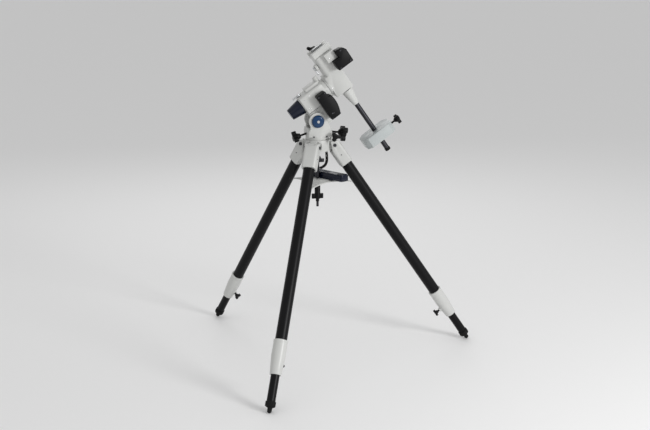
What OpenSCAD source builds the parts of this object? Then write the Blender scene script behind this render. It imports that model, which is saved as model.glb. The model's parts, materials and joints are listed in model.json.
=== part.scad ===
// German equatorial mount on a folding three-leg tripod.
// +Z is up, +X is the polar (north) side, and the origin is on the tripod's axis at ground level.

/* [Tripod] */
// Angle of each leg from the vertical, degrees
leg_splay = 34.2; // [28:0.2:38]
// Length of a leg from its hinge pin to the centre of its foot tip
leg_len = 1044; // [900:1:1200]
// Distance of the hinge pins from the tripod's axis
hinge_r = 65; // [62:0.5:80]
// Outer diameter of the upper leg tube
upper_tube_d = 45; // [38:0.5:48]
// Outer diameter of the lower leg tube
lower_tube_d = 33; // [26:0.5:36]
// Wall of both leg tubes
tube_wall = 2; // [1.5:0.1:3]
// Length of a leg's top bracket below its hinge pin
bracket_len = 92; // [70:1:120]
// Length of the sleeve that clamps a lower leg tube
collar_len = 131; // [100:1:150]
// Free length of lower leg tube between sleeve and foot
leg_out = 99; // [60:1:140]
// Radius of the tripod head
head_r = 51; // [44:0.5:54]
// Height of the tripod head
head_h = 44; // [40:0.5:60]
// Reach of the tray's three tips
tray_r = 141; // [110:1:142]
// Height of the tray's centre above the ground
tray_z = 737; // [700:1:760]

/* [Mount head] */
// Height angle of the polar axis, degrees
latitude = 35; // [30:0.5:45]
// Height of the latitude pivot above the tripod head
pivot_rise = 77; // [72:0.5:90]
// Distance of the latitude pivot behind the tripod's axis
pivot_back = 8; // [0:0.5:12]
// Distance from the latitude pivot to the polar axis
ra_rise = 76; // [72:0.5:90]
// Distance along the polar axis to the declination axis
dec_reach = 171; // [166:0.5:190]
// Distance between the outer faces of the fork
fork_w = 90; // [80:0.5:100]
// Height of the saddle's top above the polar axis
saddle_rise = 149; // [140:0.5:170]
// Length of the saddle
saddle_len = 86; // [70:1:110]

/* [Counterweight] */
// Diameter of the counterweight shaft
shaft_d = 20; // [14:0.5:24]
// Distance from the polar axis to the shaft's end
shaft_reach = 361; // [320:1:420]
// Distance from the polar axis to the middle of the weight
weight_reach = 280; // [220:1:300]
// Width of the weight
weight_w = 136; // [110:1:150]
// Depth of the weight
weight_d = 96; // [80:1:120]
// Thickness of the weight
weight_h = 41; // [30:1:50]

/* [Hand controller] */
// Length of the hand controller
handset_len = 185; // [120:1:190]
// Width of the hand controller
handset_w = 42; // [30:1:42]
// Thickness of the hand controller
handset_h = 26; // [18:1:30]
// Outer diameter of the curly cord
curl_d = 12; // [8:0.5:13]

/* [Hidden] */
$fn = 64;

// Fits
run_gap = 0.1;       // a turning or sliding fit, on the radius
clear_gap = 0.3;     // faces that pass each other
fold_gap = 1;        // room around the folding leg brackets

// Tripod heights
foot_r = 8.75;
hinge_z = leg_len * cos(leg_splay) + foot_r;
lug_r = 19;
head_bottom = hinge_z - lug_r - fold_gap;
head_top = head_bottom + head_h;
lug_w = 27.4;
ear_w = 14;
bracket_w = lug_w + 2 * (ear_w + clear_gap);
bracket_t = upper_tube_d + 7;
hinge_pin_r = 5;
ear_sweep = 26;

// Stations along a leg, measured from its hinge pin
foot_top = leg_len - 34;
collar_bottom = foot_top - leg_out;
collar_top = collar_bottom - collar_len;
upper_end = collar_top + 70;
lower_start = collar_bottom - 350;
knob_at = collar_bottom - 43;
upper_r = upper_tube_d / 2;
lower_r = lower_tube_d / 2;

// Central rod and tray
rod_r = 5;
shank_r = 8;
rod_hole_r = 6;
tray_hub_r = 14;
tray_hub_z = tray_z - 23;
tray_disc_r = 58;
tray_drop = 16;
tray_t = 4;
tip_r = 7;
nut_len = 71;
rod_bottom = tray_hub_z - nut_len - 21;
rod_knob_z = head_bottom - 49;

// Fork and latitude pivot
base_r = 46;
base_h = 15;
base_z = head_top + clear_gap;
fork_z = base_z + base_h;
pivot_x = -pivot_back;
pivot_z = head_top + pivot_rise;
cheek_t = 12;
cheek_r = 34;
pivot_bolt_r = 8;
cap_r = 25;
cap_h = 12;
block_w = fork_w - 2 * (cheek_t + clear_gap);
tang_r = 7;
tang_drop = 42;
lat_bolt_r = 4;
south_tilt = 17;
north_tilt = 7;
peg_x = 58;
peg_r = 6;
peg_top = fork_z + 6;
az_screw_z = fork_z + 1.5;
az_screw_r = 3.5;
az_ear_y = 22;

// Polar axis housing, measured along the polar axis from the pivot
ra_back = -8;
ra_front = 110;
ra_half_w = 40;
ra_half_h = 37;
ra_bore_r = 28;
ra_shaft_r = 20;
ra_hollow_r = 13;
wheel_r = 33;
wheel_x = 50;
wheel_t = 14;
worm_r = 7;
worm_z = ra_rise + wheel_r + worm_r + clear_gap;
cap_base_r = 31.5;
cap_tip_r = 22.7;
cap_len = 57;

// Declination housing
dec_start = ra_front + 2;
dec_bottom = ra_rise - 49.5;
dec_half = 41;
dec_mid = ra_rise + 42;
saddle_top = ra_rise + saddle_rise;
saddle_h = 24;
saddle_z = saddle_top - saddle_h;
dec_top = saddle_z - 1.5;
dec_shaft_r = 18;
dec_wheel_z = dec_top - 30;
slot_floor_w = 45.5;
slot_top_w = 38.5;
slot_depth = 11;
jaw_w = 11;
jaw_travel = 3.75;
screw_hold = 2;
clamp_r = 3;
clamp_x = 16;
saddle_w = 76;
ring_h = 6.5;
cone_h = 70;
socket_len = 30;

// Motor covers
cover_t = 42;
cover_wall = 2.5;
cover_y = -ra_half_w - clear_gap;

// Shaft and weight
shaft_r = shaft_d / 2;
weight_z = ra_rise - weight_reach;
shaft_end_z = ra_rise - shaft_reach;
end_cap_h = 12;

// Hand controller: it lies on the tray beside the rod and points between two legs
handset_dir = -59;
handset_back = -60;
handset_side = 10 + handset_w / 2;
handset_z = tray_z + clear_gap;

// Route of the curly cord, from the socket on the head down to the hand controller's end
cord_route = [
  [51, 51, 850], [51, 51, 834], [53, 54, 814], [55, 62, 794], [53, 76, 775], [44, 92, 761],
  [29, 105, 753], [12, 110, 750], [0, 107, 750], [-9, 98, 750], [-12, 86, 750], [-8, 74, 750]
];
cord_steps = 3;
cord_sides = 10;
socket_az = 45;

// ---------- Helpers ----------

// Places children in a leg's own frame: +Z runs down the leg from the hinge pin, +X points outwards.
module leg_frame(azimuth) {
  rotate([0, 0, azimuth])
    translate([hinge_r, 0, hinge_z])
      rotate([0, 180 - leg_splay, 0])
        mirror([1, 0, 0])
          children();
}

// Places children in the head's frame: +X along the polar axis, +Z along the declination axis.
module head_frame() {
  translate([pivot_x, 0, pivot_z])
    rotate([0, -latitude, 0])
      children();
}

// A disc or ring along +X of the head's frame, centred on the polar axis.
module ra_ring(x, len, r, bore = 0) {
  translate([x, 0, ra_rise])
    rotate([0, 90, 0])
      ring(len, r, bore);
}

// A disc or ring along +Z of the head's frame, centred on the declination axis.
module dec_ring(z, len, r, bore = 0) {
  translate([dec_reach, 0, z])
    ring(len, r, bore);
}

module ring(len, r, bore = 0) {
  difference() {
    cylinder(h = len, r = r);
    if (bore > 0) translate([0, 0, -1]) cylinder(h = len + 2, r = bore);
  }
}

// A rectangle with round corners, centred.
module round_rect(w, d, r) {
  square([w, d - 2 * r], center = true);
  square([w - 2 * r, d], center = true);
  for (sx = [-1, 1], sy = [-1, 1])
    translate([sx * (w / 2 - r), sy * (d / 2 - r)])
      circle(r = r);
}

// A hand knob with three lobes. Its screw runs from z = 0 towards -Z, the knob towards +Z.
module lobed_knob(reach, lobe_r, height, neck_r, screw_r, screw_len) {
  lobe_at = reach - lobe_r;
  cone_h = height * 0.45;
  linear_extrude_from(cone_h, height - cone_h) {
    circle(r = lobe_at * 0.72);
    for (a = [0, 120, 240]) rotate(a) {
      translate([lobe_at, 0]) circle(r = lobe_r);
      translate([0, -lobe_r * 0.85]) square([lobe_at, lobe_r * 1.7]);
    }
  }
  cylinder(h = cone_h + 0.01, r1 = neck_r, r2 = lobe_at * 0.9);
  translate([0, 0, -screw_len]) cylinder(h = screw_len + 1, r = screw_r);
}

module linear_extrude_from(z, h) {
  translate([0, 0, z]) linear_extrude(h) children();
}

// ---------- Tripod head ----------

module tripod_head() {
  color("whitesmoke") difference() {
    union() {
      translate([0, 0, head_bottom]) cylinder(h = head_h, r = head_r);
      for (a = [0, 120, 240]) rotate([0, 0, a]) {
        translate([30, -lug_w / 2, hinge_z - lug_r]) cube([hinge_r - 30, lug_w, 2 * lug_r]);
        translate([hinge_r, lug_w / 2, hinge_z]) rotate([90, 0, 0]) cylinder(h = lug_w, r = lug_r);
      }
      translate([peg_x, 0, hinge_z]) cylinder(h = peg_top - hinge_z, r = peg_r);
    }
    translate([0, 0, head_bottom - 1]) cylinder(h = head_h + 2, r = rod_hole_r + run_gap);
    for (a = [0, 120, 240]) rotate([0, 0, a])
      translate([hinge_r, 0, hinge_z]) rotate([90, 0, 0]) {
        cylinder(h = 2 * lug_w, r = hinge_pin_r, center = true);
        for (s = [-1, 1]) translate([0, 0, s * (lug_w + ear_w + 2 * fold_gap) / 2])
          cylinder(h = ear_w + 2 * fold_gap, r = ear_sweep, center = true);
      }
  }
}

module hinge_bolts() {
  head_h = 4;
  color("dimgray") for (a = [0, 120, 240]) rotate([0, 0, a])
    translate([hinge_r, 0, hinge_z]) rotate([90, 0, 0]) {
      translate([0, 0, -bracket_w / 2 - clear_gap]) cylinder(h = bracket_w + 2 * clear_gap, r = hinge_pin_r);
      for (s = [-1, 1]) translate([0, 0, s * (bracket_w / 2 + clear_gap + head_h / 2)])
        cylinder(h = head_h, r = 6.5, center = true);
    }
}

// ---------- Legs ----------

// Side outline of a leg's bracket: X outwards, Y down the leg.
module bracket_outline() {
  half = bracket_t / 2;
  polygon([
    [half - 5, -6], [half, 8], [half, bracket_len], [-half, bracket_len],
    [-half, lug_r + 8], [-lug_r, lug_r - 5], [-5, -22]
  ]);
}

module leg_bracket(azimuth) {
  color("whitesmoke") leg_frame(azimuth) difference() {
    intersection() {
      translate([0, bracket_w / 2, 0]) rotate([90, 0, 0]) linear_extrude(bracket_w) bracket_outline();
      translate([0, 0, -30]) linear_extrude(bracket_len + 31) round_rect(bracket_t, bracket_w, 11);
    }
    translate([0, lug_w / 2 + clear_gap, 0]) rotate([90, 0, 0])
      cylinder(h = lug_w + 2 * clear_gap, r = lug_r + fold_gap);
    translate([-60, -lug_w / 2 - clear_gap, -60]) cube([120, lug_w + 2 * clear_gap, 60]);
    translate([-60, -lug_w / 2 - clear_gap, -1]) cube([60, lug_w + 2 * clear_gap, lug_r + fold_gap + 1]);
    translate([0, bracket_w, 0]) rotate([90, 0, 0]) cylinder(h = 2 * bracket_w, r = hinge_pin_r + run_gap);
    translate([0, 0, 34]) cylinder(h = bracket_len, r = upper_r);
  }
}

module upper_tube(azimuth) {
  color("black") leg_frame(azimuth)
    translate([0, 0, 34]) ring(upper_end - 34, upper_r, upper_r - tube_wall);
}

module leg_collar(azimuth) {
  top_r = upper_r + 5;
  low_r = lower_r + 5;
  boss_r = 9;
  color("whitesmoke") leg_frame(azimuth) difference() {
    union() {
      translate([0, 0, collar_top]) rotate_extrude() polygon([
        [0, 0], [top_r, 0], [top_r, 8], [top_r - 1, 10], [top_r - 0.5, collar_len * 0.45],
        [top_r - 3, collar_len * 0.72], [low_r, collar_len], [0, collar_len]
      ]);
      translate([0, 0, knob_at]) rotate([0, -90, 0]) cylinder(h = lower_r + 15, r = boss_r);
    }
    translate([0, 0, collar_top - 1]) cylinder(h = upper_end - collar_top + 1, r = upper_r);
    translate([0, 0, upper_end - 1]) cylinder(h = collar_len, r = lower_r + run_gap);
    translate([0, 0, knob_at]) rotate([0, -90, 0]) cylinder(h = lower_r + 20, r = 4 + run_gap);
  }
}

module leg_knob(azimuth) {
  knob_start = lower_r + 22;
  color("black") leg_frame(azimuth)
    translate([-knob_start, 0, knob_at]) rotate([0, -90, 0])
      lobed_knob(15, 6, 16, 6, 4, knob_start - lower_r - 2 * clear_gap);
}

module lower_tube(azimuth) {
  guide_len = 15;
  color("black") leg_frame(azimuth) translate([0, 0, lower_start]) {
    ring(foot_top + 12 - lower_start, lower_r, lower_r - tube_wall);
    ring(guide_len, upper_r - tube_wall - run_gap, lower_r - tube_wall);
  }
}

module leg_foot(azimuth) {
  cup_r = lower_r + 3;
  color("black") leg_frame(azimuth) difference() {
    union() {
      translate([0, 0, foot_top]) cylinder(h = 18, r = cup_r);
      translate([0, 0, foot_top + 18]) cylinder(h = 6, r1 = cup_r, r2 = foot_r);
      translate([0, 0, foot_top + 23]) cylinder(h = leg_len - foot_top - 23, r = foot_r);
      translate([0, 0, leg_len]) sphere(r = foot_r);
    }
    translate([0, 0, foot_top - 1]) cylinder(h = 13, r = lower_r);
  }
}

// ---------- Central rod and tray ----------

module center_rod() {
  color("dimgray") {
    translate([0, 0, rod_bottom]) cylinder(h = rod_knob_z - rod_bottom, r = rod_r);
    translate([0, 0, tray_z + 5]) cylinder(h = rod_knob_z - tray_z - 5, r = shank_r);
    translate([0, 0, rod_knob_z]) cylinder(h = fork_z + 8 - rod_knob_z, r = rod_hole_r);
    translate([0, 0, rod_knob_z + 24]) mirror([0, 0, 1]) lobed_knob(28, 10, 24, 12, rod_r, 2);
    translate([0, 0, head_bottom - 6]) cylinder(h = 6 - clear_gap, r = 16);
  }
}

module tray_nut() {
  wing_z = tray_hub_z - 59;
  color("black") difference() {
    union() {
      translate([0, 0, wing_z + 18]) cylinder(h = 41 - clear_gap, r = 11.5);
      translate([0, 0, wing_z]) linear_extrude(19) {
        circle(r = 13);
        for (a = [0, 180]) rotate(a) {
          translate([17, 0]) circle(r = 7);
          translate([0, -6]) square([17, 12]);
        }
      }
      translate([0, 0, wing_z - 12]) cylinder(h = 13, r = 7);
    }
    translate([0, 0, wing_z - 20]) cylinder(h = 90, r = rod_r + run_gap);
  }
}

// Outline of the tray: three arms with hollow sides.
module tray_outline() {
  side_r = 800;
  side_gap = 62;
  difference() {
    circle(r = tray_r);
    for (a = [60, 180, 300]) rotate(a) translate([side_gap + side_r, 0]) circle(r = side_r, $fn = 400);
  }
}

module tray() {
  color("whitesmoke") difference() {
    union() {
      intersection() {
        translate([0, 0, tray_z]) rotate_extrude() polygon([
          [0, 0], [tray_disc_r - 6, 0], [tray_disc_r, -tray_t], [tray_r + 1, -tray_t - tray_drop],
          [tray_r + 1, -2 * tray_t - tray_drop], [tray_disc_r - 2, -2 * tray_t],
          [tray_disc_r - 8, -tray_t], [0, -tray_t]
        ]);
        translate([0, 0, tray_z - 40]) linear_extrude(60) tray_outline();
      }
      translate([0, 0, tray_hub_z]) cylinder(h = tray_z - tray_hub_z - 1, r = tray_hub_r);
    }
    translate([0, 0, tray_hub_z - 1]) cylinder(h = 40, r = rod_r + run_gap);
  }
}

// ---------- Hand controller ----------

module handset_frame() {
  rotate([0, 0, handset_dir])
    translate([handset_back, handset_side, handset_z])
      children();
}

module handset_case() {
  color("midnightblue") handset_frame() difference() {
    translate([handset_len / 2, 0, 0]) union() {
      linear_extrude(handset_h - 4) round_rect(handset_len, handset_w, 9);
      translate([0, 0, handset_h - 5]) linear_extrude(5) round_rect(handset_len - 6, handset_w - 6, 7);
      translate([-handset_len / 2 - 10, 0, 750 - handset_z]) rotate([0, 90, 0])
        cylinder(h = 12, r = curl_d / 2 + 1);
    }
    translate([18, -handset_w / 2 + 8, handset_h - 2]) cube([76, handset_w - 16, 3]);
  }
}

module handset_keys() {
  rows = 6;
  pitch = 12;
  color("gray") handset_frame() {
    translate([18, -handset_w / 2 + 8, handset_h - 2]) cube([76, handset_w - 16, 1]);
    for (i = [0 : rows - 1], j = [-1, 0, 1])
      translate([26 + i * pitch, j * 9, handset_h - 1.5]) cylinder(h = 3, r = 3);
  }
}

module cord_socket() {
  color("black") difference() {
    union() {
      rotate([0, 0, socket_az]) translate([head_r - 6, -9, head_bottom + 5]) cube([36, 18, 26]);
      translate(cord_route[0] - [0, 0, 2])
        cylinder(h = head_bottom + 12 - cord_route[0][2], r = curl_d / 2 + 1);
    }
    translate([0, 0, head_bottom]) cylinder(h = head_h, r = head_r);
  }
}

function lerp3(a, b, t) = a + (b - a) * t;
function unit(v) = v / norm(v);
function curve_point(p, i, t) =
  let (n = len(p) - 1, a = p[max(i - 1, 0)], b = p[i], c = p[i + 1], d = p[min(i + 2, n)])
    0.5 * (2 * b + (c - a) * t + (2 * a - 5 * b + 4 * c - d) * t * t + (3 * b - a - 3 * c + d) * t * t * t);
function smooth(p, steps) = concat(
  [for (i = [0 : len(p) - 2], k = [0 : steps - 1]) curve_point(p, i, k / steps)], [p[len(p) - 1]]);

module swept_tube(path, r, sides) {
  last = len(path) - 1;
  tangent = [for (i = [0 : last]) unit(path[min(i + 1, last)] - path[max(i - 1, 0)])];
  side = [for (t = tangent) unit(cross(t, [0.6, -0.8, 0]))];
  rings = [for (i = [0 : last], k = [0 : sides - 1])
    path[i] + r * (side[i] * cos(360 * k / sides) + cross(tangent[i], side[i]) * sin(360 * k / sides))];
  walls = [for (i = [0 : last - 1], k = [0 : sides - 1])
    [i * sides + k, (i + 1) * sides + k, (i + 1) * sides + (k + 1) % sides, i * sides + (k + 1) % sides]];
  ends = [[for (k = [0 : sides - 1]) k], [for (k = [sides - 1 : -1 : 0]) last * sides + k]];
  polyhedron(points = rings, faces = concat(walls, ends));
}

module handset_cord() {
  color("black") swept_tube(smooth(cord_route, cord_steps), curl_d / 2, cord_sides);
}

// ---------- Fork ----------

// Outline of a fork cheek in the plane of the pivot, origin at the pivot.
module cheek_outline() {
  drop = pivot_z - fork_z;
  circle(r = cheek_r);
  polygon([
    [-28, 14], [-28, -29], [-36, -42], [-36, -drop - 1], [58, -drop - 1], [58, -42],
    [54, -33], [40, -4], [32, 11]
  ]);
}

module south_bolt_frame() {
  translate([pivot_x, 0, pivot_z - tang_drop]) rotate([0, -90 - south_tilt, 0]) children();
}

module north_bolt_frame() {
  translate([pivot_x, 0, pivot_z - tang_drop]) rotate([0, 90 + north_tilt, 0]) children();
}

module fork() {
  inner = block_w / 2 + clear_gap;
  color("whitesmoke") difference() {
    union() {
      translate([0, 0, base_z]) cylinder(h = base_h, r = base_r);
      intersection() {
        translate([pivot_x, fork_w / 2, pivot_z]) rotate([90, 0, 0]) linear_extrude(fork_w) cheek_outline();
        translate([5, 0, base_z]) linear_extrude(200) round_rect(106, fork_w, 12);
      }
      for (s = [-1, 1]) translate([peg_x - 12, s * az_ear_y - 5, fork_z - 8]) cube([19, 10, 18]);
    }
    translate([pivot_x - 60, -inner, fork_z + 4]) cube([160, 2 * inner, 200]);
    translate([0, 0, base_z - 1]) cylinder(h = 30, r = rod_hole_r + run_gap);
    translate([pivot_x, fork_w, pivot_z]) rotate([90, 0, 0]) cylinder(h = 2 * fork_w, r = pivot_bolt_r);
    translate([peg_x, 0, az_screw_z]) rotate([90, 0, 0])
      cylinder(h = 2 * az_ear_y + 20, r = az_screw_r + run_gap, center = true);
    translate([peg_x - peg_r - 6, 5 - az_ear_y, base_z - 1]) cube([30, 2 * az_ear_y - 10, 40]);
  }
  color("whitesmoke") difference() {
    for (x = [pivot_x - 36, pivot_x + 47]) translate([x, -inner, fork_z + 3]) cube([11, 2 * inner, 29]);
    south_bolt_frame() cylinder(h = 90, r = lat_bolt_r + run_gap);
    north_bolt_frame() cylinder(h = 90, r = lat_bolt_r + run_gap);
  }
}

module pivot_bolt() {
  color("silver") translate([pivot_x, 0, pivot_z]) rotate([90, 0, 0])
    cylinder(h = fork_w + 6, r = pivot_bolt_r - run_gap, center = true);
}

module pivot_caps() {
  color("royalblue") for (s = [-1, 1]) translate([pivot_x, s * fork_w / 2, pivot_z]) rotate([-s * 90, 0, 0])
    difference() {
      union() {
        cylinder(h = cap_h - 5, r = cap_r);
        translate([0, 0, cap_h - 5]) cylinder(h = 5, r1 = cap_r, r2 = cap_r - 5);
      }
      translate([0, 0, -1]) cylinder(h = 5, r = pivot_bolt_r);
    }
}

module south_latitude_bolt() {
  start = tang_r + 1;
  knob_start = 63;
  color("black") south_bolt_frame() translate([0, 0, knob_start])
    lobed_knob(25, 9, 31, 9, lat_bolt_r, knob_start - start);
}

module north_latitude_bolt() {
  start = tang_r + 1;
  knob_start = 96;
  color("black") north_bolt_frame() translate([0, 0, knob_start])
    lobed_knob(35, 11, 30, 9, lat_bolt_r, knob_start - start);
}

module azimuth_knob(side) {
  start = peg_r + 0.5;
  knob_start = fork_w / 2 + 7;
  color("black") translate([peg_x, side * knob_start, az_screw_z]) rotate([-side * 90, 0, 0])
    lobed_knob(20, 7, 22, 7, az_screw_r, knob_start - start);
}

// ---------- Polar axis ----------

module ra_housing() {
  cover_w = 50;
  color("whitesmoke") head_frame() difference() {
    union() {
      translate([(ra_back + 96) / 2, 0, ra_rise + 1.5]) rotate([90, 0, 90])
        linear_extrude(96 - ra_back, center = true) round_rect(2 * ra_half_w, 2 * ra_half_h, 8);
      ra_ring(95, ra_front - 95, ra_half_w);
      translate([ra_back, -block_w / 2, -37]) cube([56, block_w, ra_rise]);
      translate([0, 0, 0]) rotate([0, latitude, 0]) {
        translate([0, block_w / 2 - 10, -tang_drop]) rotate([90, 0, 0]) cylinder(h = block_w - 20, r = tang_r);
        translate([-tang_r, -block_w / 2 + 10, -tang_drop]) cube([2 * tang_r, block_w - 20, tang_drop]);
      }
      translate([32, -cover_w / 2, ra_rise + ra_half_h]) cube([60, cover_w, 13]);
      translate([94, 0, ra_rise + 30]) cylinder(h = 34, r = 10);
      ra_ring(ra_back - 4, 5, cap_base_r + 1.5);
    }
    ra_ring(ra_back - 5, 200, ra_bore_r);
    ra_ring(wheel_x - clear_gap, wheel_t + 2 * clear_gap, wheel_r + clear_gap);
    ra_ring(ra_front - 14, 20, ra_half_w - 4);
    translate([wheel_x + wheel_t / 2, 0, worm_z]) rotate([90, 0, 0])
      cylinder(h = cover_w - 8, r = worm_r + clear_gap, center = true);
    translate([0, fork_w, 0]) rotate([90, 0, 0]) cylinder(h = 2 * fork_w, r = pivot_bolt_r);
    translate([2, 0, ra_rise + ra_half_h - 5]) cylinder(h = 20, r = 4 + run_gap);
  }
}

// A wheel with teeth, its axis along +Z from z = 0.
module toothed_wheel(r, t, bore, teeth) {
  difference() {
    union() {
      cylinder(h = t, r = r - 1.5);
      for (i = [0 : teeth - 1]) rotate([0, 0, 360 * i / teeth]) translate([0, -0.6, 0]) cube([r, 1.2, t]);
    }
    translate([0, 0, -1]) cylinder(h = t + 2, r = bore);
  }
}

// A worm: a grooved roller on its own spindle, centred on the origin along +Z.
module worm(len, spindle) {
  pitch = 4;
  cylinder(h = spindle, r = 3, center = true);
  translate([0, 0, -len / 2]) cylinder(h = len, r = worm_r - 1.5);
  for (z = [-len / 2 + 1 : pitch : len / 2 - 2]) translate([0, 0, z]) cylinder(h = 1.6, r = worm_r);
}

module ra_worm_wheel() {
  color("goldenrod") head_frame() translate([wheel_x, 0, ra_rise]) rotate([0, 90, 0])
    toothed_wheel(wheel_r, wheel_t, ra_shaft_r + run_gap, 48);
}

module ra_worm() {
  color("silver") head_frame() translate([wheel_x + wheel_t / 2, 0, worm_z]) rotate([90, 0, 0])
    worm(26, 40);
}

module ra_bearings() {
  color("silver") head_frame() for (x = [4, 80]) ra_ring(x, 12, ra_bore_r, ra_shaft_r + run_gap);
}

module ra_shaft() {
  flange_t = ra_front - 96;
  color("silver") head_frame() {
    ra_ring(0, ra_front, ra_shaft_r, ra_hollow_r);
    ra_ring(ra_front - flange_t + clear_gap, flange_t + 2 - clear_gap, ra_half_w - 4 - clear_gap, ra_hollow_r);
  }
}

module polar_scope() {
  color("dimgray") head_frame() {
    ra_ring(-40, 100, ra_hollow_r - 1);
    ra_ring(-52, 14, 16);
    ra_ring(ra_back - 4 - 6, 10, ra_bore_r);
  }
}

module polar_cap() {
  base_x = ra_back - 4 - clear_gap;
  color("midnightblue") head_frame() translate([base_x, 0, ra_rise]) rotate([0, -90, 0]) difference() {
    cylinder(h = cap_len, r1 = cap_base_r, r2 = cap_tip_r);
    translate([0, 0, -1]) cylinder(h = cap_len - 2, r1 = cap_base_r - 2, r2 = cap_tip_r - 2);
  }
}

module ra_lock_lever() {
  color("gray") head_frame() translate([2, 0, ra_rise + ra_half_h + 1.5 + clear_gap]) {
    translate([0, 0, -6]) cylinder(h = 6, r = 4);
    cylinder(h = 8, r = 8);
    translate([-24, -4, 1]) cube([24, 8, 6]);
    translate([-24, 0, 1]) cylinder(h = 6, r = 4);
  }
}

// Outline of the polar axis motor's cover: X along the polar axis, Y along the declination axis.
module ra_cover_outline(inset = 0) {
  left = 46.5 + inset;
  bottom = -22 + inset;
  top = 89 - inset;
  bulge_r = 120;
  intersection() {
    union() {
      translate([left, bottom]) square([40.5 - 2 * inset, top - bottom]);
      translate([left, bottom]) square([60, 87 - 2 * inset]);
    }
    translate([101.5 - bulge_r - inset, 36]) circle(r = bulge_r, $fn = 96);
  }
}

// Stands an outline drawn in the plane of the two axes on the near side of the head.
module on_near_side(y, depth) {
  translate([0, y, 0]) rotate([90, 0, 0]) linear_extrude(depth) children();
}

module ra_motor_cover() {
  color("black") head_frame() difference() {
    on_near_side(cover_y, cover_t) ra_cover_outline();
    on_near_side(cover_y - cover_wall, cover_t - 2 * cover_wall) ra_cover_outline(cover_wall);
  }
}

module motor(len, r) {
  cylinder(h = len, r = r);
  translate([0, 0, len - 1]) cylinder(h = 4, r = 5);
  translate([0, 0, len + 2]) cylinder(h = 8, r = 2.5);
}

module ra_motor() {
  color("silver") head_frame() translate([68, cover_y - cover_t / 2, -14]) motor(60, 15);
}

// ---------- Declination axis ----------

module dec_housing() {
  bracket_depth = 20;
  color("whitesmoke") head_frame() difference() {
    union() {
      ra_ring(dec_start, 12, dec_half);
      translate([dec_start + 8, -38, dec_bottom]) cube([197 - dec_start - 8, 76, dec_mid - dec_bottom]);
      translate([dec_reach, 0, dec_mid - 1]) linear_extrude(dec_top - dec_mid + 1)
        round_rect(2 * dec_half, 2 * dec_half - 6, 14);
      translate([165, -38 - bracket_depth, dec_top - 38]) cube([41, bracket_depth + 4, 36]);
      translate([dec_start + 14, -12, dec_top - 32]) rotate([0, -90, 0]) cylinder(h = 10, r = 13);
    }
    dec_ring(dec_wheel_z - clear_gap, wheel_t + 2 * clear_gap, wheel_r + clear_gap);
    dec_ring(dec_bottom - 1, 300, dec_shaft_r + run_gap);
    translate([165 + 20.5, -wheel_r - worm_r - clear_gap, dec_wheel_z + wheel_t / 2]) rotate([0, 90, 0])
      cylinder(h = 34, r = worm_r + clear_gap, center = true);
    translate([dec_start + 5, -12, dec_top - 32]) rotate([0, -90, 0])
      translate([0, 0, -8]) cylinder(h = 20, r = 4 + run_gap);
    ra_ring(dec_start - 1, 10, ra_hollow_r);
  }
}

module dec_worm_wheel() {
  color("goldenrod") head_frame() translate([dec_reach, 0, dec_wheel_z])
    toothed_wheel(wheel_r, wheel_t, dec_shaft_r + run_gap, 48);
}

module dec_worm() {
  color("silver") head_frame()
    translate([165 + 20.5, -wheel_r - worm_r - clear_gap, dec_wheel_z + wheel_t / 2]) rotate([0, 90, 0])
      worm(24, 33);
}

// Outline of the declination motor's cover, drawn in the plane of the two axes.
module dec_cover_outline(inset = 0) {
  i = inset;
  polygon([
    [180 + i, dec_mid + i], [248 - i, dec_mid + i], [249 - i, 171 - i], [244 - i, 180 - i],
    [232 - i, 188 - i], [208 + i, 191 - i], [208 + i, 158 - i], [180 + i, 158 - i]
  ]);
}

module dec_motor_cover() {
  color("black") head_frame() difference() {
    on_near_side(cover_y, cover_t) dec_cover_outline();
    on_near_side(cover_y - cover_wall, cover_t - 2 * cover_wall) dec_cover_outline(cover_wall);
  }
}

module dec_motor() {
  color("silver") head_frame() translate([186, cover_y - cover_t / 2, 137]) rotate([0, 90, 0]) motor(44, 15);
}

module dec_lock_lever() {
  color("gray") head_frame() translate([dec_start + 4 - clear_gap, -12, dec_top - 32]) rotate([0, -90, 0]) {
    translate([0, 0, -6]) cylinder(h = 6, r = 4);
    cylinder(h = 7, r = 8);
    translate([-24, -4, 1]) cube([24, 8, 5]);
    translate([-24, 0, 1]) cylinder(h = 5, r = 4);
  }
}

module dec_shaft() {
  color("silver") head_frame() difference() {
    dec_ring(dec_bottom, saddle_z + 8 - dec_bottom, dec_shaft_r);
    dec_ring(dec_bottom - 1, socket_len + 1, shaft_r);
  }
}

// ---------- Counterweight ----------

module lock_ring() {
  color("black") head_frame() dec_ring(dec_bottom - ring_h, ring_h - clear_gap, 24, shaft_r);
}

module shaft_cone() {
  top = dec_bottom - ring_h;
  color("whitesmoke") head_frame() translate([dec_reach, 0, top - cone_h]) difference() {
    rotate_extrude() polygon([
      [0, 0], [shaft_r + 1, 0], [shaft_r + 2.5, 3], [19, cone_h * 0.52], [23, cone_h * 0.9], [23.5, cone_h],
      [0, cone_h]
    ]);
    translate([0, 0, -1]) cylinder(h = cone_h + 2, r = shaft_r);
  }
}

module counterweight_shaft() {
  color("dimgray") head_frame()
    dec_ring(shaft_end_z + end_cap_h, dec_bottom + socket_len - shaft_end_z - end_cap_h, shaft_r);
}

module shaft_end_cap() {
  color("black") head_frame() dec_ring(shaft_end_z, end_cap_h, shaft_r + 1.5);
}

module counterweight() {
  flat = 50;
  color("gainsboro") head_frame() translate([dec_reach, 0, weight_z]) difference() {
    linear_extrude(weight_h, center = true) polygon([
      [-weight_w / 2, -26], [-flat, -weight_d / 2], [flat, -weight_d / 2], [weight_w / 2, -26],
      [weight_w / 2, 26], [flat, weight_d / 2], [-flat, weight_d / 2], [-weight_w / 2, 26]
    ]);
    cylinder(h = weight_h + 2, r = shaft_r + run_gap, center = true);
    rotate([0, 90, 0]) cylinder(h = weight_w, r = 4 + run_gap);
  }
}

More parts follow.
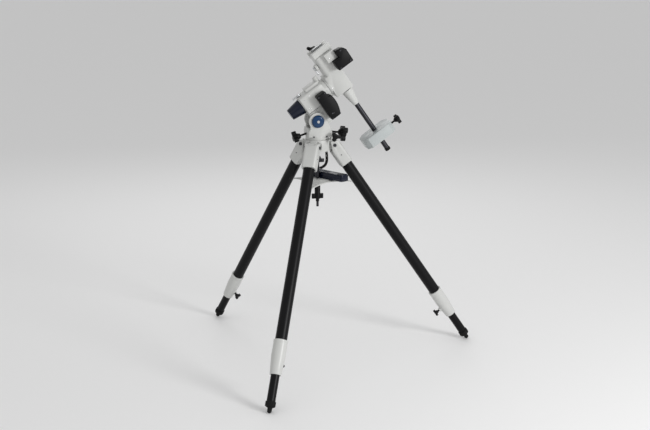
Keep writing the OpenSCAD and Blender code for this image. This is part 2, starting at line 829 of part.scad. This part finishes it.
module weight_knob() {
  knob_start = weight_w / 2 + 18;
  color("black") head_frame() translate([dec_reach + knob_start, 0, weight_z]) rotate([0, 90, 0])
    lobed_knob(22, 8, 23, 6, 4, knob_start - shaft_r - 2 * clear_gap);
}

// ---------- Saddle ----------

// Cross-section of the dovetail slot, with its mouth upwards and its floor at y = 0.
module slot_outline() {
  polygon([
    [-slot_floor_w / 2, 0], [slot_floor_w / 2, 0], [slot_top_w / 2, slot_depth],
    [slot_top_w / 2, slot_depth + 5], [-slot_top_w / 2, slot_depth + 5], [-slot_top_w / 2, slot_depth]
  ]);
}

module saddle() {
  jaw_len = 52;
  color("whitesmoke") head_frame() translate([dec_reach, 0, saddle_z]) difference() {
    linear_extrude(saddle_h) round_rect(saddle_len, saddle_w, 6);
    translate([-saddle_len, 0, saddle_h - slot_depth]) rotate([90, 0, 90])
      linear_extrude(2 * saddle_len) slot_outline();
    translate([-jaw_len / 2, slot_top_w / 2 - 2, saddle_h - slot_depth])
      cube([jaw_len, jaw_w + jaw_travel + 2.5, slot_depth + 1]);
    translate([-clamp_x, 20, saddle_h - slot_depth / 2]) rotate([-90, 0, 0])
      cylinder(h = 30, r = clamp_r + run_gap);
    translate([0, 0, -1]) cylinder(h = 9, r = dec_shaft_r);
  }
}

module saddle_jaw() {
  jaw_len = 51.4;
  y0 = slot_top_w / 2;
  color("silver") head_frame() translate([dec_reach, 0, saddle_top - slot_depth + clear_gap]) difference() {
    rotate([90, 0, 90]) linear_extrude(jaw_len, center = true) polygon([
      [slot_floor_w / 2 + 0.5, 0], [y0 + jaw_w, 0], [y0 + jaw_w, slot_depth - clear_gap],
      [y0 + 0.6, slot_depth - clear_gap]
    ]);
    translate([-clamp_x, y0 + jaw_w - screw_hold - jaw_travel - 0.5, slot_depth / 2 - clear_gap])
      rotate([-90, 0, 0]) cylinder(h = 20, r = clamp_r + run_gap);
  }
}

module clamp_knob() {
  knob_start = saddle_w / 2 + 6;
  color("black") head_frame()
    translate([dec_reach - clamp_x, knob_start, saddle_top - slot_depth / 2]) rotate([-90, 0, 0])
      lobed_knob(20, 7, 18, 7, clamp_r, knob_start - slot_top_w / 2 - jaw_w + screw_hold);
}

tripod_head();
hinge_bolts();
cord_socket();
handset_cord();
handset_case();
handset_keys();
center_rod();
tray_nut();
tray();
leg_bracket(0);  // leg_bracket_a
upper_tube(0);  // upper_tube_a
leg_collar(0);  // leg_collar_a
leg_knob(0);  // leg_knob_a
lower_tube(0);  // lower_tube_a
leg_foot(0);  // leg_foot_a
leg_bracket(120);  // leg_bracket_b
upper_tube(120);  // upper_tube_b
leg_collar(120);  // leg_collar_b
leg_knob(120);  // leg_knob_b
lower_tube(120);  // lower_tube_b
leg_foot(120);  // leg_foot_b
leg_bracket(240);  // leg_bracket_c
upper_tube(240);  // upper_tube_c
leg_collar(240);  // leg_collar_c
leg_knob(240);  // leg_knob_c
lower_tube(240);  // lower_tube_c
leg_foot(240);  // leg_foot_c
fork();
pivot_bolt();
pivot_caps();
south_latitude_bolt();
north_latitude_bolt();
azimuth_knob(-1);  // near_azimuth_knob
azimuth_knob(1);  // far_azimuth_knob
ra_housing();
ra_worm_wheel();
ra_worm();
ra_bearings();
ra_motor_cover();
ra_motor();
polar_scope();
polar_cap();
ra_lock_lever();
ra_shaft();
dec_housing();
dec_worm_wheel();
dec_worm();
dec_motor_cover();
dec_motor();
dec_lock_lever();
lock_ring();
shaft_cone();
counterweight_shaft();
shaft_end_cap();
counterweight();
weight_knob();
dec_shaft();
saddle();
saddle_jaw();
clamp_knob();
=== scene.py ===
import json
import math

import bpy
from mathutils import Matrix, Vector


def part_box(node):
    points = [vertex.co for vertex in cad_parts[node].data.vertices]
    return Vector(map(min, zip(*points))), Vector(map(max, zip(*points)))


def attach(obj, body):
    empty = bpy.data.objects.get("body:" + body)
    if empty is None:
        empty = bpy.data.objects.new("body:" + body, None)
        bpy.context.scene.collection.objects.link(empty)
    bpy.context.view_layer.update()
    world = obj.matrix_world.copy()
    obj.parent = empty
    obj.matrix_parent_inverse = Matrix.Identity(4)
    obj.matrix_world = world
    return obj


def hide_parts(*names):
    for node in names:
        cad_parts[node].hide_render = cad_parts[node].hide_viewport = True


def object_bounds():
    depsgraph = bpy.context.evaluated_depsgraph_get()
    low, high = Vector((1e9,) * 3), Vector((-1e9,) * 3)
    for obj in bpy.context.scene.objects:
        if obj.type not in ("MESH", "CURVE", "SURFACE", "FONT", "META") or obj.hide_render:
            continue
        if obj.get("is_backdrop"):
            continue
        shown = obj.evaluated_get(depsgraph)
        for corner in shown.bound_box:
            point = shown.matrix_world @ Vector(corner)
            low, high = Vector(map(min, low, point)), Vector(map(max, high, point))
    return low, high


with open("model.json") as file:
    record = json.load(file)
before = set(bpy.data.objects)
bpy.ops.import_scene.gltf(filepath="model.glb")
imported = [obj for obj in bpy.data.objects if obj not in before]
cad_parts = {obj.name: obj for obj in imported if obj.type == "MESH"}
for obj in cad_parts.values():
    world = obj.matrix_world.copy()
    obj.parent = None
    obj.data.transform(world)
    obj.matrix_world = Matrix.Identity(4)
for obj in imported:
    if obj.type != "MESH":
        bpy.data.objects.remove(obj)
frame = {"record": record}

cad_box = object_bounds()
RECORD = frame["record"]
BODY_OF = {n: body for body, nodes in RECORD["behaviour"]["bodies"].items() for n in nodes}
SLOT_OF = {s["node"]: s["material_slot"] for s in RECORD["subparts"]}
MM = 0.001


def deselect():
    bpy.ops.object.select_all(action="DESELECT")


def take(piece):
    """Selects one piece and makes it active."""
    deselect()
    piece.select_set(True)
    bpy.context.view_layer.objects.active = piece
    return piece


def as_list(corners):
    return [[float(x) for x in c] if hasattr(c, "__len__") else float(c) for c in corners]


# ---------- Camera ----------

RIGHT = Vector((0.9683338, -0.2496233, -0.0042343))
UP = Vector((0.0642425, 0.2327476, 0.9704131))
FORWARD = Vector((0.2412522, 0.9399558, -0.2414138))
lens = bpy.data.cameras.new("viewpoint")
lens.sensor_width = 36
lens.lens = 66.37
lens.clip_end = 40
viewpoint = bpy.data.objects.new("viewpoint", lens)
bpy.context.scene.collection.objects.link(viewpoint)
turn = Matrix((RIGHT, UP, -FORWARD)).transposed().to_4x4()
viewpoint.matrix_world = Matrix.Translation((-1.1352993, -4.5433011, 1.75)) @ turn
bpy.context.scene.camera = viewpoint


# ---------- Materials ----------

class Value:
    """A number that varies over the surface."""

    def __init__(self, finish, socket):
        self.finish = finish
        self.socket = socket

    def math(self, operation, a, b):
        return self.finish.add("ShaderNodeMath", {"operation": operation}, {0: a, 1: b})

    def __add__(self, other):
        return self.math("ADD", self, other)

    def __mul__(self, other):
        return self.math("MULTIPLY", self, other)

    __radd__ = __add__
    __rmul__ = __mul__


class Finish:
    """One material and its nodes."""

    def __init__(self, name):
        self.material = bpy.data.materials.new(name)
        self.material.use_nodes = True
        self.tree = self.material.node_tree
        self.shader = self.tree.nodes["Principled BSDF"]
        self.place = self.add("ShaderNodeTexCoord", {}, {}, "Object")

    def add(self, kind, settings, inputs, output=0):
        node = self.tree.nodes.new(kind)
        for key, value in settings.items():
            setattr(node, key, value)
        for key, value in inputs.items():
            if isinstance(value, Value):
                self.tree.links.new(value.socket, node.inputs[key])
            else:
                node.inputs[key].default_value = value
        return Value(self, node.outputs[output])

    def noise(self, scale, detail=2.0, stretch=(1, 1, 1)):
        spot = self.add("ShaderNodeMapping", {}, {"Vector": self.place, "Scale": stretch})
        return self.add("ShaderNodeTexNoise", {}, {"Vector": spot, "Scale": scale, "Detail": detail})

    def blend(self, factor, low, high):
        return self.add("ShaderNodeMix", {"data_type": "RGBA"}, {0: factor, 6: low, 7: high}, 2)

    def feed(self, name, value):
        if isinstance(value, Value):
            self.tree.links.new(value.socket, self.shader.inputs[name])
        else:
            self.shader.inputs[name].default_value = value


def rgba(colour, by=1.0):
    return (*[min(1.0, c * by) for c in colour], 1.0)


def make_finish(name, colour, rough, spread, grain, depth, metal=0.0, coat=0.0, shade=0.88,
                stretch=(1, 1, 1), specular=0.5):
    """A surface with a grain, patches that are glossier, and a slow change of tone."""
    f = Finish(name)
    patches = f.noise(22.0, 3.0)
    fine = f.noise(grain, 3.0, stretch)
    tone = patches * 0.65 + fine * 0.35
    f.feed("Base Color", f.blend(tone, rgba(colour, shade), rgba(colour, 2 - shade)))
    f.feed("Roughness", fine * spread + patches * spread + (rough - spread))
    f.feed("Metallic", metal)
    f.feed("Coat Weight", coat)
    f.shader.inputs["Coat Roughness"].default_value = 0.08
    f.shader.inputs["Specular IOR Level"].default_value = specular
    bump = f.add("ShaderNodeBump", {}, {"Height": fine, "Distance": depth, "Strength": 0.6})
    f.feed("Normal", bump)
    return f.material


FINISHES = {
    "white_casting": make_finish("cast_paint", (0.53, 0.535, 0.52), 0.42, 0.10, 1100, 9e-5, shade=0.95),
    "white_sleeve": make_finish("sleeve_moulding", (0.56, 0.565, 0.55), 0.36, 0.06, 1800, 3e-5, shade=0.96),
    "black_tube": make_finish("satin_tube", (0.0035, 0.0035, 0.004), 0.38, 0.10, 700, 3e-5, shade=0.7,
                              specular=0.16),
    "black_plastic": make_finish("grained_black", (0.004, 0.004, 0.0045), 0.48, 0.12, 1500, 9e-5, shade=0.7,
                                 specular=0.16),
    "black_rubber": make_finish("rubber", (0.008, 0.008, 0.008), 0.82, 0.10, 900, 1e-4, shade=0.7,
                                specular=0.2),
    "cord_skin": make_finish("cord_jacket", (0.006, 0.006, 0.0065), 0.45, 0.08, 2200, 3e-5, shade=0.75,
                             specular=0.3),
    "key_rubber": make_finish("key_membrane", (0.12, 0.125, 0.14), 0.65, 0.08, 2000, 5e-5, shade=0.85),
    "navy_plastic": make_finish("navy_gloss", (0.0015, 0.004, 0.016), 0.26, 0.06, 1300, 2e-5, coat=0.15,
                                shade=0.75, specular=0.25),
    "blue_cap": make_finish("blue_gloss", (0.002, 0.032, 0.10), 0.24, 0.06, 1300, 2e-5, coat=0.2, shade=0.85,
                            specular=0.3),
    "dark_ring": make_finish("dark_anodised", (0.008, 0.009, 0.016), 0.30, 0.08, 1600, 3e-5, 0.4, shade=0.8,
                             stretch=(1, 8, 1), specular=0.3),
    "weight_paint": make_finish("enamel", (0.42, 0.45, 0.45), 0.40, 0.10, 600, 1.2e-4, coat=0.1, shade=0.93),
    "dark_steel": make_finish("plated_steel", (0.045, 0.045, 0.05), 0.34, 0.12, 900, 3e-5, 1.0, shade=0.8,
                              stretch=(1, 6, 1)),
    "steel": make_finish("ground_steel", (0.58, 0.58, 0.59), 0.28, 0.12, 900, 2e-5, 1.0, stretch=(8, 1, 1)),
    "aluminium": make_finish("satin_aluminium", (0.50, 0.51, 0.52), 0.36, 0.10, 1200, 3e-5, 1.0,
                             stretch=(1, 8, 1)),
    "black_aluminium": make_finish("black_anodised", (0.012, 0.012, 0.013), 0.36, 0.10, 1200, 3e-5, 0.4,
                                   shade=0.8),
    "brass": make_finish("cut_brass", (0.72, 0.52, 0.20), 0.30, 0.10, 1200, 3e-5, 1.0, stretch=(1, 6, 1)),
}
window = make_finish("display_window", (0.02, 0.03, 0.028), 0.12, 0.03, 1500, 1e-5, coat=0.8, shade=0.9)


def dress(piece, slot, body, replaced=()):
    """Gives a piece its finish, and the body that it moves with."""
    piece.data.materials.clear()
    piece.data.materials.append(FINISHES[slot])
    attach(piece, body)
    if replaced:
        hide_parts(*replaced)
    return piece


# ---------- Handset cord ----------

ROUTE = [(51, 51, 850), (51, 51, 834), (53, 54, 814), (55, 62, 794), (53, 76, 775), (44, 92, 761),
         (29, 105, 753), (12, 110, 750), (0, 107, 750), (-9, 98, 750), (-12, 86, 750), (-8, 74, 750)]
STRAND = 2.1
COIL_R = 4.8
PITCH = 3.0
TURN_POINTS = 14
LEAD = 22.0


LINE_STEPS = 60


def on_route(t):
    """A point on the smooth line through the route, t from 0 to the last point's number."""
    i = min(int(t), len(ROUTE) - 2)
    s = t - i
    a, b, c, d = [Vector(ROUTE[max(0, min(len(ROUTE) - 1, i + k))]) for k in (-1, 0, 1, 2)]
    return 0.5 * (2 * b + (c - a) * s + (2 * a - 5 * b + 4 * c - d) * s ** 2
                  + (3 * b - a - 3 * c + d) * s ** 3)


def coil_points():
    steps = LINE_STEPS * (len(ROUTE) - 1)
    line = [on_route(i / LINE_STEPS) for i in range(steps + 1)]
    far = [0.0]
    for a, b in zip(line, line[1:]):
        far.append(far[-1] + (b - a).length)
    side = Vector((1, 0, 0))
    points = []
    count = int(far[-1] / PITCH * TURN_POINTS)
    seat = 0
    angle = 0.0
    for n in range(count + 1):
        s = far[-1] * n / count
        while seat < steps - 1 and far[seat + 1] < s:
            seat += 1
        part = (s - far[seat]) / (far[seat + 1] - far[seat])
        middle = line[seat].lerp(line[seat + 1], part)
        along = (line[seat + 1] - line[seat]).normalized()
        side = (side - along * side.dot(along)).normalized()
        up = along.cross(side)
        near_end = max(0.0, min(1.0, s / LEAD, (far[-1] - s) / LEAD))
        open_by = near_end * near_end * (3 - 2 * near_end)
        angle += 2 * math.pi / TURN_POINTS * open_by ** 8
        reach = COIL_R * open_by
        points.append((middle + reach * (side * math.cos(angle) + up * math.sin(angle))) * MM)
    return points


strand = coil_points()
strand_length = sum((b - a).length for a, b in zip(strand, strand[1:]))
cord_curve = bpy.data.curves.new("handset_coil", "CURVE")
cord_curve.dimensions = "3D"
cord_curve.bevel_depth = STRAND / 2 * MM
cord_curve.bevel_resolution = 1
cord_curve.use_fill_caps = True
spline = cord_curve.splines.new("POLY")
spline.points.add(len(strand) - 1)
for spot, p in zip(spline.points, strand):
    spot.co = (*p, 1.0)
spline.use_smooth = True
handset_coil = bpy.data.objects.new("handset_coil", cord_curve)
bpy.context.scene.collection.objects.link(handset_coil)
dress(handset_coil, "cord_skin", BODY_OF["handset_cord"], ["handset_cord"])


# ---------- Softened castings and mouldings ----------

def soften(node, width, segments=2):
    """A merged copy of a node with its edges rounded, which stands for the node."""
    piece = bpy.data.objects.new(node + "_skin", bpy.data.objects[node].data.copy())
    bpy.context.scene.collection.objects.link(piece)
    take(piece)
    bpy.ops.object.mode_set(mode="EDIT")
    bpy.ops.mesh.select_all(action="SELECT")
    bpy.ops.mesh.remove_doubles(threshold=1e-5)
    bpy.ops.mesh.dissolve_limited(angle_limit=math.radians(1))
    bpy.ops.object.mode_set(mode="OBJECT")
    edge = piece.modifiers.new("edge", "BEVEL")
    edge.width = width * MM
    edge.segments = segments
    edge.limit_method = "ANGLE"
    edge.angle_limit = math.radians(38)
    bpy.ops.object.modifier_apply(modifier=edge.name)
    bpy.ops.object.shade_smooth_by_angle(angle=math.radians(35))
    return dress(piece, SLOT_OF[node], BODY_OF[node], [node])


EDGES = {
    "tripod_head": 1.2, "fork": 1.5, "ra_housing": 1.6, "dec_housing": 1.6, "saddle": 1.0, "tray": 0.8,
    "ra_motor_cover": 3.5, "dec_motor_cover": 3.5, "counterweight": 4.0, "handset_case": 3.0,
    "polar_cap": 2.0, "pivot_caps": 2.5, "lock_ring": 1.2, "shaft_cone": 1.0, "shaft_end_cap": 1.5,
    "near_azimuth_knob": 2.0, "far_azimuth_knob": 2.0, "clamp_knob": 2.0, "weight_knob": 2.0,
    "south_latitude_bolt": 1.5, "north_latitude_bolt": 1.5, "tray_nut": 1.5, "cord_socket": 1.0,
    "ra_lock_lever": 1.0, "dec_lock_lever": 1.0,
}
for leg in "abc":
    EDGES.update({"leg_bracket_" + leg: 1.6, "leg_collar_" + leg: 1.5, "leg_knob_" + leg: 1.5,
                  "leg_foot_" + leg: 1.2})
for node, width in EDGES.items():
    soften(node, width)

for node in BODY_OF:
    if node in EDGES or node == "handset_cord":
        continue
    part = bpy.data.objects[node]
    if not part.material_slots:
        part.data.materials.append(None)
    for place in part.material_slots:
        place.material = FINISHES[SLOT_OF[node]]


# ---------- Small fittings ----------

PIVOT = Vector((-8, 0, 973.2))
TILT = math.radians(35)


def head(u, y, w):
    """A point of the polar head, u along its axis and w across it, in millimetres."""
    return PIVOT + Vector((u * math.cos(TILT) - w * math.sin(TILT), y,
                           u * math.sin(TILT) + w * math.cos(TILT)))


def pick_top(piece):
    """In edit mode, selects the faces that look up at the piece's highest level."""
    bpy.ops.object.mode_set(mode="OBJECT")
    top = max(v.co.z for v in piece.data.vertices)
    for v in piece.data.vertices:
        v.select = False
    for e in piece.data.edges:
        e.select = False
    for face in piece.data.polygons:
        face.select = face.normal.z > 0.9 and face.center.z > top - 1e-6
    bpy.ops.object.mode_set(mode="EDIT")
    bpy.ops.mesh.select_mode(type="FACE")


def dish(name, radius, height, sides, steps, bevel, squeeze=1.0):
    """A turned fitting, base at the origin: each step insets its top and moves it up or down."""
    deselect()
    bpy.ops.mesh.primitive_cylinder_add(vertices=sides, radius=radius * MM, depth=height * MM,
                                        location=(0, 0, height / 2 * MM))
    piece = bpy.context.active_object
    piece.name = name
    bpy.ops.object.transform_apply(location=True, rotation=True, scale=True)
    bpy.ops.object.mode_set(mode="EDIT")
    pick_top(piece)
    for inset, lift in steps:
        bpy.ops.mesh.inset(thickness=inset * MM)
        if lift:
            bpy.ops.mesh.extrude_region_move(TRANSFORM_OT_translate={"value": (0, 0, lift * MM)})
    bpy.ops.object.mode_set(mode="OBJECT")
    edge = piece.modifiers.new("edge", "BEVEL")
    edge.width = bevel * MM
    edge.segments = 2
    edge.limit_method = "ANGLE"
    edge.angle_limit = math.radians(40)
    take(piece)
    bpy.ops.object.modifier_apply(modifier=edge.name)
    bpy.ops.object.shade_smooth_by_angle(angle=math.radians(35))
    piece.data.transform(Matrix.Diagonal((1, squeeze, 1, 1)))
    return piece


def seat(pattern, name, point, normal, body, slot, spin=0.0):
    """A copy of a pattern with its base at a point, in millimetres, looking along the normal."""
    piece = bpy.data.objects.new(name, pattern.data.copy())
    bpy.context.scene.collection.objects.link(piece)
    look = Vector(normal).to_track_quat("Z", "Y").to_matrix().to_4x4()
    piece.data.transform(Matrix.Translation(Vector(point) * MM) @ look @ Matrix.Rotation(spin, 4, "Z"))
    return dress(piece, slot, body)


def facing(node, start, direction):
    """Where a line from a point, in millimetres, meets a node's surface."""
    part = bpy.data.objects.get(node + "_skin") or bpy.data.objects[node]
    hit, spot, normal, _ = part.ray_cast(Vector(start) * MM, Vector(direction).normalized())
    return (spot / MM, normal) if hit else (None, None)


cap_screw = dish("cap_screw", 3.2, 2.2, 24, [(1.2, 0), (0.05, -1.3)], 0.35)
small_screw = dish("small_screw", 2.2, 1.1, 20, [(0.8, 0), (0.05, -0.6)], 0.25)
badge = dish("oval_plate", 4.6, 1.2, 40, [(1.0, 0), (0.1, -0.5)], 0.25, 0.7)

missed = []
bpy.context.view_layer.update()


def fix_screw(pattern, name, node, start, direction, slot="steel"):
    spot, normal = facing(node, start, direction)
    if spot is None:
        missed.append(name)
        return
    seat(pattern, name, spot - normal * 0.3, normal, BODY_OF[node], slot)


NEAR = (0, 1, 0)
for n, (u, w) in enumerate([(51.5, 84), (82, 84), (52, -16), (86, -16)]):
    fix_screw(cap_screw, "ra_cover_screw_%d" % n, "ra_motor_cover", head(u, -200, w), NEAR, "dark_steel")
for n, (u, w) in enumerate([(190, 124), (238, 126), (226, 182)]):
    fix_screw(cap_screw, "dec_cover_screw_%d" % n, "dec_motor_cover", head(u, -200, w), NEAR, "dark_steel")
fix_screw(badge, "ra_cover_plate", "ra_motor_cover", head(63.6, -200, 0.2), NEAR, "dark_steel")
for n, (u, w) in enumerate([(177, 178), (123, 71), (8, 60), (8, 96), (30, 102)]):
    node = "dec_housing" if u > 100 else "ra_housing"
    fix_screw(small_screw, "housing_screw_%d" % n, node, head(u, -200, w), NEAR)
for side in (-1, 1):
    for n, (x, z) in enumerate([(-24, 912), (28, 912)]):
        fix_screw(cap_screw, "fork_screw_%d_%d" % (side + 1, n), "fork", (x, side * 200, z), (0, -side, 0),
                  "dark_steel")
for n, leg in enumerate("abc"):
    angle = math.radians(120 * n)
    for side in (-1, 1):
        start = Vector((92, side * 80, 832))
        start.rotate(Matrix.Rotation(angle, 3, "Z"))
        aim = Vector((0, -side, 0))
        aim.rotate(Matrix.Rotation(angle, 3, "Z"))
        fix_screw(small_screw, "bracket_screw_%s_%d" % (leg, side + 1), "leg_bracket_" + leg, start, aim,
                  "dark_steel")


def star(name):
    """A disc for the middle of a pivot cap, base at the origin."""
    deselect()
    bpy.ops.mesh.primitive_cylinder_add(vertices=16, radius=11 * MM, depth=4.0 * MM,
                                        location=(0, 0, 2.0 * MM))
    piece = bpy.context.active_object
    piece.name = name
    bpy.ops.object.transform_apply(location=True, rotation=True, scale=True)
    for v in piece.data.vertices:
        sector = round(math.atan2(v.co.y, v.co.x) / (math.pi / 8))
        v.select = sector % 2 == 1
    bpy.ops.object.mode_set(mode="EDIT")
    bpy.ops.mesh.select_mode(type="VERT")
    bpy.ops.object.mode_set(mode="OBJECT")
    for v in piece.data.vertices:
        sector = round(math.atan2(v.co.y, v.co.x) / (math.pi / 8))
        v.select = sector % 2 == 1
    bpy.ops.object.mode_set(mode="EDIT")
    bpy.ops.transform.resize(value=(0.5, 0.5, 1.0), center_override=(0, 0, 0))
    pick_top(piece)
    bpy.ops.mesh.inset(thickness=1.0 * MM)
    bpy.ops.mesh.extrude_region_move(TRANSFORM_OT_translate={"value": (0, 0, 0.7 * MM)})
    bpy.ops.object.mode_set(mode="OBJECT")
    return take(piece)


rosette = star("rosette")
cap_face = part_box("pivot_caps")[1][1] / MM
for side in (-1, 1):
    seat(rosette, "pivot_star_%d" % (side + 1), (PIVOT.x, side * (cap_face - 3.2), PIVOT.z), (0, side, 0),
         BODY_OF["pivot_caps"], "steel")

# The handset's display.
pane = dish("pane", 19, 1.0, 4, [(2.0, 0), (0.1, -0.4)], 0.3)
pane.data.transform(Matrix.Rotation(math.pi / 4, 4, "Z"))
pane.data.transform(Matrix.Diagonal((1.5, 0.95, 1, 1)))
screen = seat(pane, "handset_window", (64.7, -47.3, 762.6), (0, 0, 1), BODY_OF["handset_case"], "navy_plastic",
              math.radians(-59))
screen.data.materials.clear()
screen.data.materials.append(window)

for pattern in (cap_screw, small_screw, badge, rosette, pane):
    bpy.data.objects.remove(pattern, do_unlink=True)
print("fittings that met no surface:", missed)


# ---------- Floor and light ----------

deselect()
bpy.ops.mesh.primitive_plane_add(size=160, location=(0, 0, 0))
floor = bpy.context.active_object
floor.name = "floor"
floor.data.materials.append(make_finish("pale_floor", (0.86, 0.86, 0.86), 0.9, 0.02, 40, 1e-5, shade=0.995))
floor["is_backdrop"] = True

world = bpy.context.scene.world or bpy.data.worlds.new("studio")
bpy.context.scene.world = world
world.use_nodes = True
world.node_tree.nodes["Background"].inputs["Color"].default_value = (1, 1, 1, 1)
world.node_tree.nodes["Background"].inputs["Strength"].default_value = 0.62


def lamp(name, place, aim, size, power):
    light = bpy.data.lights.new(name, "AREA")
    light.size = size
    light.energy = power
    holder = bpy.data.objects.new(name, light)
    bpy.context.scene.collection.objects.link(holder)
    look = (Vector(aim) - Vector(place)).to_track_quat("-Z", "Y").to_matrix().to_4x4()
    holder.matrix_world = Matrix.Translation(place) @ look


lamp("key", (2.4, -3.6, 2.0), (0, 0, 0.8), 1.2, 95)
lamp("fill", (-3.0, -2.6, 2.2), (0, 0, 0.8), 2.2, 3)
lamp("rim", (0.5, 3.0, 2.8), (0, 0, 0.9), 2.0, 20)
bpy.context.scene.view_settings.view_transform = "Standard"

bpy.context.view_layer.update()
{"cad": as_list(cad_box), "visual": as_list(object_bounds())}
